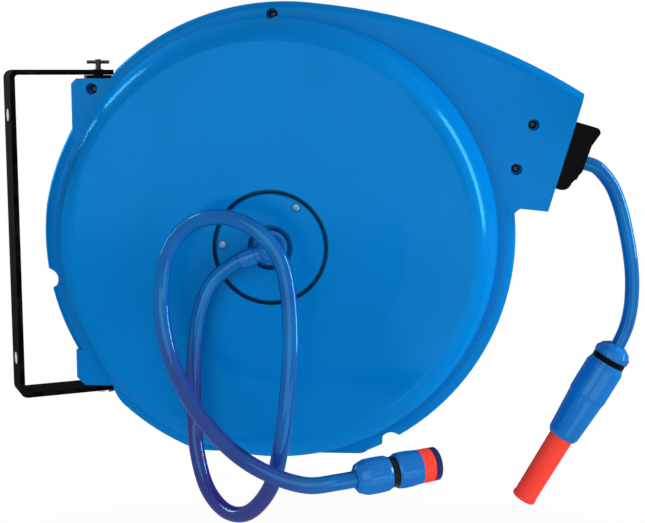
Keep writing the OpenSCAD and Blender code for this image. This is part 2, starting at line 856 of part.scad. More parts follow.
// Hose on the spool: plain lower layers, an outer layer of turns, and the run to the guide
module hose_core() {
  color(hose_blue) in_housing() difference() {
    bar([0, 0], core_r, -spool_half + 0.5, spool_half - 0.5);
    bar([0, 0], barrel_r, -spool_half, spool_half);
  }
}

winding_steps = hose_turns * loop_steps;
function turn_point(i) = let (a = 360 * i / loop_steps, p = polar(winding_r, a))
  [p[0], winding_pitch * (i / loop_steps - hose_turns / 2), p[1]];
function turn_ahead(i) = let (a = 360 * i / loop_steps) [-sin(a), 0, cos(a)];
function winding_path() = concat(
  [turn_point(0) - hose_d * turn_ahead(0)],
  [for (i = [0 : winding_steps]) turn_point(i)],
  [turn_point(winding_steps) + hose_d * turn_ahead(winding_steps)]);
winding_gap = min([for (i = [0 : loop_steps - 1], k = [-1, 0, 1])
  norm(turn_point(i) - turn_point(i + loop_steps + k))]) - hose_d;
echo("Least gap between the turns of hose", winding_gap);

module hose_winding() {
  color(hose_blue) in_housing() tube(winding_path(), hose_r, winding_sides);
}

guide_line = mouth_point(0, window_mid);
lead_angle = atan2(guide_line[1], guide_line[0]) + acos(lead_r / norm(guide_line));
function flat_point(p) = [p[0], 0, p[1]];

module hose_lead() {
  color(hose_blue) in_housing() tube([
    flat_point(polar(lead_r, lead_angle)),
    flat_point((polar(lead_r, lead_angle) + mouth_point(-40, window_mid)) / 2),
    flat_point(mouth_point(-40, window_mid)),
    flat_point(mouth_point(-20, window_mid)),
    flat_point(mouth_point(0, window_mid))], hose_r, hose_sides);
}

// Roller guide in the mouth
module guide_frame() {
  color(black) in_housing() at_mouth() difference() {
    union() {
      mouth_block([-guide_in, -wall_t], [guide_low - 3, guide_high + 3], band_half - wall_t);
      mouth_block([-wall_t, 0], [guide_low + neck_inset, guide_high - neck_inset], neck_half);
      translate([0, guide_half, 0]) rotate([90, 0, 0]) linear_extrude(2 * guide_half) polygon(concat(
        [[0, guide_low]],
        oval(guide_low_n - guide_low_r, guide_low + guide_low_r, guide_low_r, guide_low_r, -90, 0, 6),
        [[guide_mid_n, window_mid - 8], [guide_mid_n + 1, window_mid + 18]],
        oval(guide_high_n - guide_high_r, guide_high - guide_high_r, guide_high_r, guide_high_r, 0, 90, 5),
        [[0, guide_high]]));
    }
    mouth_block([-guide_in - over, 40], [window_mid - window_half_u, window_mid + window_half_u],
      window_half_y);
    for (s = [-1, 1]) {
      translate([roller_n, -window_half_y, window_mid + s * window_half_u]) rotate([-90, 0, 0])
        cylinder(r = roller_r + pocket_gap, h = 2 * window_half_y);
      translate([side_roller_n, s * window_half_y, window_mid - window_half_u])
        cylinder(r = side_roller_r + pocket_gap, h = 2 * window_half_u);
    }
    translate([stop_seat, 0, window_mid]) rotate([0, 90, 0]) cylinder(r = stop_r + face_gap, h = 40);
    guide_pins();
  }
}

module guide_pins() {
  for (s = [-1, 1]) {
    translate([roller_n, -neck_half, window_mid + s * window_half_u]) rotate([-90, 0, 0])
      cylinder(r = roller_pin_r, h = 2 * neck_half);
    translate([side_roller_n, s * window_half_y, window_mid - window_half_u - 8])
      cylinder(r = roller_pin_r, h = 2 * window_half_u + 16);
  }
}

module roller_pins() {
  color(steel) in_housing() at_mouth() guide_pins();
}

module roller(r, half) {
  difference() {
    cylinder(r = r, h = 2 * half, center = true);
    cylinder(r = roller_pin_r + run_gap, h = 2 * half + 2 * over, center = true);
  }
}

module cross_roller(side) {
  color(grey) in_housing() at_mouth()
    translate([roller_n, 0, window_mid + side * window_half_u]) rotate([90, 0, 0])
      roller(roller_r, window_half_y - face_gap);
}

module upright_roller(side) {
  color(grey) in_housing() at_mouth()
    translate([side_roller_n, side * window_half_y, window_mid])
      roller(side_roller_r, window_half_u - face_gap);
}

module roller_upper() {
  cross_roller(1);
}

module roller_lower() {
  cross_roller(-1);
}

module roller_front() {
  upright_roller(-1);
}

module roller_rear() {
  upright_roller(1);
}

// Outlet hose and nozzle
module at_nozzle() {
  translate([nozzle_from[0], 0, nozzle_from[1]]) rotate([0, nozzle_angle, 0]) children();
}

module outlet_hose() {
  ahead = [sin(nozzle_angle), cos(nozzle_angle)];
  route = concat([mouth_point(0, window_mid), mouth_point(10, window_mid), mouth_point(20, window_mid)],
    outlet_route, [nozzle_from, nozzle_from + nozzle_seat * ahead]);
  path = [for (p = spline(route, spline_steps)) flat_point(p)];
  color(hose_blue) in_housing() tube(path, hose_r, hose_sides);
}

// Rubber collar on the hose that seats in the guide when the hose is wound in
module hose_stop() {
  color(black) in_housing() at_mouth() translate([stop_seat, 0, window_mid]) rotate([0, 90, 0])
    rotate_extrude() translate([hose_r, 0]) square([stop_r - hose_r, stop_len]);
}

module nozzle_nut() {
  color(fitting_blue) in_housing() at_nozzle() rotate_extrude() polygon([
    [hose_r + 0.35, 0], [hose_r + 2, 0], [nozzle_nut_r - 3, 4], [nozzle_nut_r, 9],
    [nozzle_nut_r, nozzle_nut_to - 1], [nozzle_nut_r - 1, nozzle_nut_to], [nozzle_bore_r, nozzle_nut_to],
    [nozzle_bore_r, nozzle_seat], [hose_r + 0.35, nozzle_seat]]);
}

module nozzle_ring() {
  color(black) in_housing() at_nozzle() rotate_extrude() translate([nozzle_bore_r, nozzle_nut_to])
    square([nozzle_ring_r - nozzle_bore_r, nozzle_body_from - nozzle_nut_to]);
}

module nozzle_body() {
  color(fitting_blue) in_housing() at_nozzle() rotate_extrude() polygon([
    [nozzle_bore_r, nozzle_body_from], [nozzle_ring_r, nozzle_body_from], [grip_r, nozzle_body_from + 6],
    [grip_r, grip_to], [grip_r - 0.8, grip_to + 3], [nozzle_waist_r, nozzle_body_to - 4],
    [nozzle_waist_r - 2, nozzle_body_to], [spigot_r, nozzle_body_to], [spigot_r, spigot_to],
    [nozzle_bore_r, spigot_to]]);
}

module nozzle_tip() {
  from = nozzle_body_to + face_gap;
  color(nozzle_red) in_housing() at_nozzle() rotate_extrude() polygon([
    [spigot_r + run_gap, from], [tip_r, from], [tip_r - 0.6, tip_to - 6], [tip_r, tip_to - 5],
    [tip_r, tip_to - 1.5], [tip_r - 1.5, tip_to], [tip_mouth_r, tip_to], [tip_throat_r, tip_to - 8],
    [tip_throat_r, spigot_to + 2], [spigot_r + run_gap, spigot_to + 2]]);
}

// Inlet hose and its quick connector
module at_connector() {
  translate([connector_from[0], -elbow_axis - connector_from[1], connector_from[2]])
    rotate([0, connector_angle, connector_yaw]) children();
}

module inlet_hose() {
  axis = polar(1, inlet_angle);
  level = sin(connector_angle);
  ahead = [level * cos(connector_yaw), -level * sin(connector_yaw), cos(connector_angle)];
  start = [for (s = [hose_seat, hose_seat + hose_d]) [s * axis[0], 0, s * axis[1]]];
  route = concat(start, inlet_route, [connector_from + connector_seat * ahead]);
  path = [for (p = spline(route, spline_steps)) [p[0], -elbow_axis - p[1], p[2]]];
  color(hose_blue) in_housing() tube(path, hose_r, hose_sides);
}

module connector_nut() {
  color(fitting_blue) in_housing() at_connector() rotate_extrude() polygon([
    [hose_r + 0.35, 0], [hose_r + 1.8, 0], [nut_r - 2.5, 2.5], [nut_r, 9], [nut_r, nut_len - 2],
    [nut_r - 1, nut_len], [core_r_out, nut_len], [core_r_out, connector_seat],
    [hose_r + 0.35, connector_seat]]);
}

module connector_core() {
  color(black) in_housing() at_connector() rotate_extrude() polygon([
    [core_bore_r, connector_seat], [core_r_out, connector_seat], [core_r_out, ring_to + face_gap],
    [rim_ring_r, ring_to + face_gap], [rim_ring_r, core_to - 1], [rim_ring_r - 1, core_to],
    [socket_bore_r, core_to], [socket_bore_r, socket_from], [core_bore_r, socket_from]]);
}

module connector_collar() {
  bore = core_r_out + run_gap;
  color(fitting_blue) in_housing() at_connector() rotate_extrude() polygon([
    [bore, collar_from], [collar_r - 1, collar_from], [collar_r, collar_from + 2],
    [collar_r, collar_to - 6], [ring_r_out, collar_to], [bore, collar_to]]);
}

module release_ring() {
  bore = core_r_out + run_gap;
  color(nozzle_red) in_housing() at_connector() rotate_extrude() polygon([
    [bore, collar_to], [ring_r_out, collar_to], [ring_r_out, ring_to - 1], [ring_r_out - 0.5, ring_to],
    [bore, ring_to]]);
}

bracket();
pivot_stud();
lock_pin();
pin_handle();
front_shell();
rear_shell();
shell_screws();
upper_bush();
lower_bush();
hub_cover();
hub_screws();
axle();
axle_bolt();
spring_arbor();
inlet_elbow();
inlet_ferrule();
front_flange();
rear_flange();
barrel();
front_bearing();
rear_bearing();
union_body();
o_rings();
spring_case();
spring_cover();
power_spring();
ratchet_ring();
pawl();
pawl_pin();
hose_core();
hose_winding();
hose_lead();
guide_frame();
roller_pins();
roller_upper();
roller_lower();
roller_front();
roller_rear();
outlet_hose();
hose_stop();
nozzle_nut();
nozzle_ring();
nozzle_body();
nozzle_tip();
inlet_hose();
connector_nut();
connector_core();
connector_collar();
release_ring();
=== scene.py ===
"""Dresses the wall mounted hose reel with its hoses, fittings, finishes, light and camera."""

import json
import math

import bmesh
import bpy
from mathutils import Matrix, Vector


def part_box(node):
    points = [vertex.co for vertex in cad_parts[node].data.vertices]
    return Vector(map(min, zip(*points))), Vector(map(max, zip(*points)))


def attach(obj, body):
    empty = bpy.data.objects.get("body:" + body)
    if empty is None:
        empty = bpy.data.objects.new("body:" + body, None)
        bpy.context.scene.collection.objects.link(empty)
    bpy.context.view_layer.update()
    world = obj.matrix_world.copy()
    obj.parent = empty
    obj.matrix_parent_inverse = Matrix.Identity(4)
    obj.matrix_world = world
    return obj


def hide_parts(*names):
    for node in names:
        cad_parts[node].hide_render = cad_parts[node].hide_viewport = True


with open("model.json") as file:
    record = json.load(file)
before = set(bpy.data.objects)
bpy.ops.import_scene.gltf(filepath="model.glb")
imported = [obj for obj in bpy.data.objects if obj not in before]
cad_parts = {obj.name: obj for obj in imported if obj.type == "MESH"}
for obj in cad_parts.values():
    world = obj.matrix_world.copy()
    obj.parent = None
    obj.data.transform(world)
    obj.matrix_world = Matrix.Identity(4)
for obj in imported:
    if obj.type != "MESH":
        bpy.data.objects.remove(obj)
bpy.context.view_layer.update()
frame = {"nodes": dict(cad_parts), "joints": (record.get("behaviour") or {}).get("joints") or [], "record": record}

bl_info = {
    "name": "Hose Reel",
    "version": (1, 0, 0),
    "blender": (4, 5, 0),
    "location": "View3D > Sidebar > Hose Reel",
    "description": "Dresses a wall mounted hose reel for rendering",
    "category": "Object",
}

MM = 0.001
NODES = frame["nodes"]
JOINTS = {joint["name"]: joint for joint in frame["joints"]}

# The reel's own frame: across towards the mouth, back along the drum's axis, and up
REEL_CENTRE = Vector(JOINTS["drum_spin"]["pos_m"])
REEL_BACK = Vector(JOINTS["drum_spin"]["axis"]).normalized()
REEL_ACROSS = Vector((REEL_BACK.y, -REEL_BACK.x, 0.0))
REEL_UP = Vector((0.0, 0.0, 1.0))

# Route of the outlet hose in the reel's middle plane, in mm across and up from the drum's axis
OUTLET_ROUTE = [
    (309, 70), (318, 62), (326, 51), (332, 38), (337, 23), (341, 7), (345, -12),
    (348, -32), (349, -52), (348, -72), (344, -91),
]

# Nozzle, as the place of its hose end, its turn from straight up, and how far the hose goes in
NOZZLE_FROM = (337, -108)
NOZZLE_TURN = 209.4
NOZZLE_SEAT = 10

# Route of the inlet hose, in mm across, in front of the elbow, and up
INLET_ROUTE = [
    (-49, 0, -27), (-60, 3, -47), (-66, 5, -74), (-69, 7, -108), (-69, 9, -146),
    (-66, 16, -184), (-54, 33.5, -215.5), (-33, 59, -228.4), (-9, 85.5, -219.6), (12, 104, -190),
    (22, 112, -150), (27, 109, -110), (29, 99, -70), (26, 83, -29), (17, 73, 4),
    (-5, 64, 27), (-35, 52, 36), (-64, 40, 28), (-85, 32, 5), (-93, 29, -29),
    (-92, 34, -62), (-82, 47, -94), (-64, 69, -122), (-40, 94, -144), (-12, 117, -161),
    (17, 131, -172), (46, 139, -177), (71, 138, -174),
]

# Elbow, as how far it stands in front of the drum's middle, its turn, and where the hose starts on it
ELBOW_FRONT = 112
ELBOW_TURN = 202
ELBOW_SEAT = 18

# Connector, as the place of its hose end, its two turns, how far the hose goes in, and its rim's start
CONNECTOR_FROM = (85, 132, -173)
CONNECTOR_TURN = 86
CONNECTOR_YAW = 25
CONNECTOR_SEAT = 12
CONNECTOR_RIM = 69.6

# Mouth of the housing, as its middle, its lean, and where the hose's window is in it
MOUTH_MIDDLE = (277.875, 84.416)
MOUTH_LEAN = 16
WINDOW_MIDDLE = -5

# Hose wound on the drum, with its rings in each turn, and the radius where it leaves for the mouth
WINDING_RADIUS = 141.65
WINDING_PITCH = 14.5
WINDING_TURNS = 7
WINDING_STEPS = 48
LEAD_RADIUS = 156.15

# Screws, as rings and turns about the drum's axis or as places, with their heads' seats and their shanks
HUB_SCREW_RING = 44.5
HUB_SCREW_TURNS = (57, 177, 297)
HUB_SCREW_SEAT = 94.5
BAND_SCREW_RING = 216
BAND_SCREW_TURNS = (91, 252)
SNOUT_SCREWS = ((-38, 17), (-41, -28))
SET_SCREW = (-180, 144.9)
SHELL_SCREW_SEAT = 18
SCREW_SHANK = 8

# Grip ribs, as the piece, its body, its fitting, their start and end along it, radius and half width
GRIPS = (
    ("nozzle_nut_ribs", "housing", "nozzle", 8.0, 14.0, 17.75, 1.0),
    ("connector_nut_ribs", "housing", "connector", 9.0, 27.0, 14.8, 0.8),
    ("connector_collar_ribs", "connector_collar", "connector", 39.0, 52.0, 14.9, 0.8),
)

# Painted shade in the seam round the hub cover, darkening the groove, as its inner and outer radius, and how far
# in front it starts
HUB_SEAM = (50.3, 54.0, 60)

# Wall holes of the bracket, as the height of each from the drum's axis and its radius
BOLT_HEIGHT = 120
BOLT_RADIUS = 5.6

# Lacquers, as amount, tint and roughness
HOUSING_LACQUER = (0.02, (0.12, 0.7, 1.0), 0.16)
FITTING_LACQUER = (0.035, (0.35, 0.8, 1.0), 0.14)
RED_LACQUER = (0.012, (1.0, 0.6, 0.5), 0.25)
HOSE_LACQUER = (0.07, (0.13, 0.45, 0.7), 0.07)

# Braid of the hose, as the strands round it and the crossings in a metre
BRAID_STRANDS = 8.0
BRAID_CROSSINGS = 260.0

# Where the hose is painted darker as painted shade on its lowest part, as a direction and the distance along it in
# metres
HANG_WAY = (-0.6, 0.0, -0.8)
HANG_START = 0.095
HANG_END = 0.15

# Camera, as its place and the point it looks at in millimetres, and its focal length
CAMERA_SPOT = (125, -1290, 163)
CAMERA_AIM = (42.5, 0, -26.5)
CAMERA_LENS = 72.9

# Lamps, as the name, the place in millimetres, the width and height in metres, and the power
LAMPS = (
    ("left_strip", (-1080, 450, 480), 0.24, 0.95, 17.0),
    ("right_strip", (1200, 50, 380), 0.24, 0.85, 15.0),
    ("front_softbox", (-250, -1450, 500), 1.4, 1.4, 12.0),
    ("low_softbox", (650, -1050, -450), 1.0, 1.0, 5.0),
)
SURROUND_LIGHT = 0.3

# Floor, as half its width and its height, in metres
FLOOR_HALF = 6.0
FLOOR_LEVEL = -0.75


def at_reel(across, back, up):
    """A point in the part's frame from millimetres in the reel's own frame."""
    return REEL_CENTRE + (REEL_ACROSS * across + REEL_BACK * back + REEL_UP * up) * MM


def way(across, back, up):
    """A direction in the part's frame from one in the reel's own frame."""
    return (REEL_ACROSS * across + REEL_BACK * back + REEL_UP * up).normalized()


def turn_in_plane(degrees):
    """The direction in the reel's plane that is turned from straight up towards the mouth."""
    angle = math.radians(degrees)
    return way(math.sin(angle), 0.0, math.cos(angle))


def connector_axis():
    """The connector's direction, turned down from straight up and then towards the wall behind it."""
    turn, yaw = math.radians(CONNECTOR_TURN), math.radians(CONNECTOR_YAW)
    return way(math.sin(turn) * math.cos(yaw), math.sin(turn) * math.sin(yaw), math.cos(turn))


def connector_place(along):
    """A point on the connector's axis, in millimetres from its hose end."""
    across, front, up = CONNECTOR_FROM
    return at_reel(across, -ELBOW_FRONT - front, up) + connector_axis() * (along * MM)


def on_ring(radius, degrees):
    """A place on a ring about the drum's axis, as millimetres across and up."""
    angle = math.radians(degrees)
    return radius * math.cos(angle), radius * math.sin(angle)


def at_mouth(out, up):
    """A point in the mouth's own directions, as millimetres across and up in the reel's frame."""
    lean = math.radians(MOUTH_LEAN)
    return (
        MOUTH_MIDDLE[0] + out * math.cos(lean) + up * math.sin(lean),
        MOUTH_MIDDLE[1] - out * math.sin(lean) + up * math.cos(lean),
    )


class HoseReelSizes(bpy.types.PropertyGroup):
    """Sizes of the hoses and of the small pieces."""

    hose_diameter: bpy.props.FloatProperty(
        name="Hose diameter", description="Outside of the hose", default=0.014, unit="LENGTH")
    hose_sides: bpy.props.IntProperty(
        name="Hose sides", description="Sides of the hose's round section", default=32, min=8)
    steps: bpy.props.IntProperty(
        name="Route steps", description="Rings between two points of a hose's route", default=8, min=2)
    grip_ribs: bpy.props.IntProperty(
        name="Grip ribs", description="Ribs round each hose nut", default=26, min=8)
    rib_height: bpy.props.FloatProperty(
        name="Rib height", description="How far a grip rib stands out", default=0.0004, unit="LENGTH")
    screw_radius: bpy.props.FloatProperty(
        name="Screw head", description="Radius of a screw's head", default=0.004, unit="LENGTH")


class HoseReelColours(bpy.types.PropertyGroup):
    """Colours of the finishes."""

    housing: bpy.props.FloatVectorProperty(
        name="Housing", description="Moulded housing", subtype="COLOR", default=(0.0, 0.162, 0.50))
    fitting: bpy.props.FloatVectorProperty(
        name="Fittings", description="Blue of the nozzle and connector", subtype="COLOR",
        default=(0.003, 0.125, 0.44))
    rim: bpy.props.FloatVectorProperty(
        name="Front rim", description="Dark blue rim of the connector", subtype="COLOR",
        default=(0.008, 0.02, 0.11))
    hose: bpy.props.FloatVectorProperty(
        name="Hose", description="Body of the hose", subtype="COLOR", default=(0.0, 0.11, 0.37))
    hose_deep: bpy.props.FloatVectorProperty(
        name="Deep hose", description="Darker bands in the hose", subtype="COLOR",
        default=(0.002, 0.065, 0.31))
    # Painted shade on the hose where it hangs lowest
    hose_low_shade: bpy.props.FloatVectorProperty(
        name="Shaded hose", description="Hose where it hangs lowest", subtype="COLOR",
        default=(0.028, 0.014, 0.17))
    release: bpy.props.FloatVectorProperty(
        name="Red", description="Spray tip and release ring", subtype="COLOR", default=(0.88, 0.055, 0.036))


class Value:
    """A value in a finish; arithmetic on it adds Math nodes."""

    def __init__(self, finish, socket):
        self.finish = finish
        self.socket = socket

    def maths(self, operation, first, second):
        return self.finish.node("ShaderNodeMath", {"operation": operation}, {0: first, 1: second})

    def __add__(self, other):
        return self.maths("ADD", self, other)

    def __sub__(self, other):
        return self.maths("SUBTRACT", self, other)

    def __rsub__(self, other):
        return self.maths("SUBTRACT", other, self)

    def __mul__(self, other):
        return self.maths("MULTIPLY", self, other)

    def greater(self, other):
        return self.maths("MAXIMUM", self, other)

    __radd__ = __add__
    __rmul__ = __mul__


class Finish:
    """A material built from nodes."""

    def __init__(self, name):
        self.material = bpy.data.materials.new(name)
        self.material.use_nodes = True
        self.take(self.material.node_tree)

    @classmethod
    def of_tree(cls, tree):
        """The same helpers on another tree, such as the world's."""
        made = cls.__new__(cls)
        made.take(tree)
        return made

    def take(self, tree):
        self.tree = tree
        self.tree.nodes.clear()

    def plug(self, socket, value):
        if isinstance(value, Value):
            self.tree.links.new(value.socket, socket)
        else:
            socket.default_value = value

    def node(self, kind, settings=None, inputs=None, output=0):
        """Adds a node with its settings, and then the values or links of its sockets."""
        made = self.tree.nodes.new(kind)
        for key, value in (settings or {}).items():
            setattr(made, key, value)
        for key, value in (inputs or {}).items():
            self.plug(made.inputs[key], value)
        return Value(self, made.outputs[output]) if len(made.outputs) else None

    def place(self, stretch=(1.0, 1.0, 1.0), turn=(0.0, 0.0, 0.0)):
        """The place on the piece, stretched and turned for a pattern."""
        spot = self.node("ShaderNodeTexCoord", output="Object")
        return self.node("ShaderNodeMapping", {"vector_type": "POINT"},
                         {"Vector": spot, "Scale": stretch, "Rotation": turn})

    def reach(self, origin, axis):
        """How far the surface lies along an axis from an origin, in metres."""
        spot = self.node("ShaderNodeTexCoord", output="Object")
        apart = self.node("ShaderNodeVectorMath", {"operation": "SUBTRACT"}, {0: spot, 1: origin})
        return self.node("ShaderNodeVectorMath", {"operation": "DOT_PRODUCT"}, {0: apart, 1: axis},
                         output="Value")

    def seam(self, inner, outer, front):
        """One in a ring about the drum's axis on the reel's front side, from sizes in millimetres."""
        soft = 0.3
        across = self.reach(REEL_CENTRE, REEL_ACROSS)
        up = self.reach(REEL_CENTRE, REEL_UP)
        apart = across * across + up * up
        within = self.ramp(apart, ((inner - soft) * MM) ** 2, (inner * MM) ** 2)
        inside = self.ramp(apart, (outer * MM) ** 2, ((outer + soft) * MM) ** 2, 1.0, 0.0)
        ahead = self.ramp(self.reach(REEL_CENTRE, -REEL_BACK), front * MM, (front + 1) * MM)
        return within * inside * ahead

    def noise(self, scale, detail=2.0, where=None):
        return self.node("ShaderNodeTexNoise", {}, {
            "Vector": where or self.place(), "Scale": scale, "Detail": detail, "Roughness": 0.55})

    def ramp(self, value, start, end, low=0.0, high=1.0):
        return self.node("ShaderNodeMapRange", {"clamp": True}, {
            0: value, 1: start, 2: end, 3: low, 4: high})

    def mix(self, factor, first, second):
        return self.node("ShaderNodeMix", {"data_type": "RGBA"}, {0: factor, 6: first, 7: second}, output=2)

    def bump(self, height, strength, depth):
        return self.node("ShaderNodeBump", {}, {"Height": height, "Strength": strength, "Distance": depth})

    def principled(self, sockets):
        """A Principled surface, whose sockets are named with low lines for spaces."""
        named = {key.replace("_", " "): value for key, value in sockets.items()}
        return self.node("ShaderNodeBsdfPrincipled", {}, named)

    def surface(self, lacquer=None, **sockets):
        """Ends the finish in its surface, under a thin lacquer if it has one: amount, tint, roughness."""
        shaded = self.principled(sockets)
        if lacquer:
            amount, tint, rough = lacquer
            shine = self.principled({"Base_Color": shade(tint, 1.0), "Metallic": 1.0, "Roughness": rough})
            shaded = self.node("ShaderNodeMixShader", {}, {0: amount, 1: shaded, 2: shine})
        self.node("ShaderNodeOutputMaterial", {}, {"Surface": shaded})
        return self.material


def shade(colour, factor):
    """An opaque colour, made lighter or darker."""
    return tuple(min(1.0, part * factor) for part in colour) + (1.0,)


def moulded(name, colour, rough=0.3, gloss=0.0, grain=0.04, lacquer=None, seam=None):
    """Moulded plastic: faint flow marks, a fine grain, light scuffs, and painted shade in the seam where it has
    one.
    """
    finish = Finish(name)
    flow = finish.noise(9.0, 3.0)
    grit = finish.noise(950.0, 2.0)
    scuff = finish.noise(60.0, 6.0, finish.place((1.0, 1.0, 4.0), (0.4, 0.9, 0.2)))
    scuffed = finish.ramp(scuff, 0.62, 0.78)
    body = finish.mix(finish.ramp(flow, 0.3, 0.7), shade(colour, 0.95), shade(colour, 1.05))
    tone = finish.mix(scuffed * 0.08, body, shade(colour, 1.3))
    if seam:
        # Painted shade: the groove round the hub cover is darkened where shade falls in it
        seam_painted_shade = shade(colour, 0.16)
        tone = finish.mix(finish.seam(*seam) * 0.85, tone, seam_painted_shade)
    return finish.surface(
        lacquer,
        Base_Color=tone,
        Roughness=rough + (flow - 0.5) * 0.08 + scuffed * 0.08,
        Normal=finish.bump(grit, grain, 0.0004),
        Specular_IOR_Level=gloss)


def two_tone(name, colour, rim, origin, axis):
    """Black moulding whose front end, past an origin on its axis, is another colour."""
    finish = Finish(name)
    flow = finish.noise(30.0, 3.0)
    grit = finish.noise(900.0, 2.0)
    past = finish.ramp(finish.reach(origin, axis), 0.0, 0.0001)
    tone = finish.mix(past, shade(colour, 1.0), shade(rim, 1.0))
    body = finish.mix(finish.ramp(flow, 0.4, 0.8) * 0.3, tone, (0.01, 0.01, 0.012, 1.0))
    return finish.surface(
        Base_Color=body,
        Roughness=0.35 + flow * 0.08,
        Normal=finish.bump(grit, 0.06, 0.0004),
        Specular_IOR_Level=0.1)


def flexible_hose(name, colour, deep, low_shade):
    """Clear coated hose: braid seen faintly through the wall, deeper colour in bands, and painted shade where it
    hangs lowest.
    """
    finish = Finish(name)
    spot = finish.node("ShaderNodeUVMap", {"uv_map": "UVMap"})
    along = finish.node("ShaderNodeSeparateXYZ", {}, {0: spot})
    around = Value(finish, along.socket.node.outputs[1])

    def strands(sign):
        wave = finish.node("ShaderNodeMath", {"operation": "SINE"}, {
            0: (around * BRAID_STRANDS + along * (sign * BRAID_CROSSINGS)) * math.tau})
        return finish.ramp(wave, 0.72, 1.0)

    braid = strands(1.0).greater(strands(-1.0))
    band = finish.noise(16.0, 2.0)
    body = finish.mix(finish.ramp(band, 0.34, 0.64), shade(deep, 1.0), shade(colour, 1.0))
    # Painted shade: the hose darkens towards its lowest part, down and away from the mouth
    hang = finish.ramp(finish.reach(REEL_CENTRE, way(*HANG_WAY)), HANG_START, HANG_END)
    tinted = finish.mix(hang, body, shade(low_shade, 1.0))
    tone = finish.mix(braid * 0.07, tinted, shade(colour, 1.8))
    return finish.surface(
        HOSE_LACQUER,
        Base_Color=tone,
        Roughness=0.2 + finish.noise(120.0, 3.0) * 0.1,
        Normal=finish.bump(braid, 0.03, 0.0003),
        Specular_IOR_Level=0.01)


def plated(name, colour, rough=0.3):
    """Plated steel: drawn lines along one way and cloudy plating."""
    finish = Finish(name)
    cloud = finish.noise(45.0, 4.0)
    drawn = finish.noise(700.0, 2.0, finish.place((1.0, 1.0, 0.06)))
    tone = finish.mix(finish.ramp(cloud, 0.3, 0.7), shade(colour, 0.85), shade(colour, 1.1))
    return finish.surface(
        Base_Color=tone,
        Metallic=1.0,
        Roughness=rough + cloud * 0.12,
        Normal=finish.bump(drawn, 0.08, 0.0003))


def coated_bar(name, half_width):
    """Black powder coat: orange peel, with steel showing at rubbed edges and in the wall holes."""
    finish = Finish(name)
    wall = (0.0, 0.0, 0.0)
    out = finish.reach(wall, (1.0, 0.0, 0.0))
    sideways = finish.reach(wall, (0.0, 1.0, 0.0))
    height = finish.reach(wall, (0.0, 0.0, 1.0))
    peel = finish.noise(420.0, 3.0)
    cloud = finish.noise(18.0, 4.0)
    rub_depth = 0.0016
    edge = finish.ramp(sideways.greater(0.0 - sideways), half_width - rub_depth, half_width)
    rubbed = finish.ramp(finish.noise(70.0, 8.0) + edge * 0.12, 0.62, 0.72)
    tone = finish.mix(finish.ramp(cloud, 0.3, 0.7), (0.001, 0.001, 0.001, 1.0), (0.003, 0.003, 0.003, 1.0))
    worn = finish.mix(rubbed * 0.1, tone, (0.04, 0.04, 0.043, 1.0))
    hole, hole_edge = BOLT_RADIUS * MM, 0.0004
    from_hole = height.greater(0.0 - height) - BOLT_HEIGHT * MM
    apart = sideways * sideways + from_hole * from_hole
    bare = finish.ramp(apart, hole ** 2, (hole + hole_edge) ** 2, 1.0, 0.0)
    near_wall = finish.ramp(out, 0.007, 0.008, 1.0, 0.0)
    return finish.surface(
        Base_Color=finish.mix(bare * near_wall, worn, (0.75, 0.75, 0.76, 1.0)),
        Roughness=0.66 + peel * 0.12 - rubbed * 0.1,
        Normal=finish.bump(peel, 0.22, 0.0005),
        Specular_IOR_Level=0.004)


def rubbery(name, colour):
    """Soft rubber with a dull bloom."""
    finish = Finish(name)
    bloom = finish.noise(80.0, 5.0)
    tone = finish.mix(finish.ramp(bloom, 0.35, 0.75), shade(colour, 0.8), shade(colour, 1.9))
    return finish.surface(
        Base_Color=tone,
        Roughness=0.62 + bloom * 0.2,
        Normal=finish.bump(finish.noise(600.0, 2.0), 0.15, 0.0004),
        Specular_IOR_Level=0.08)


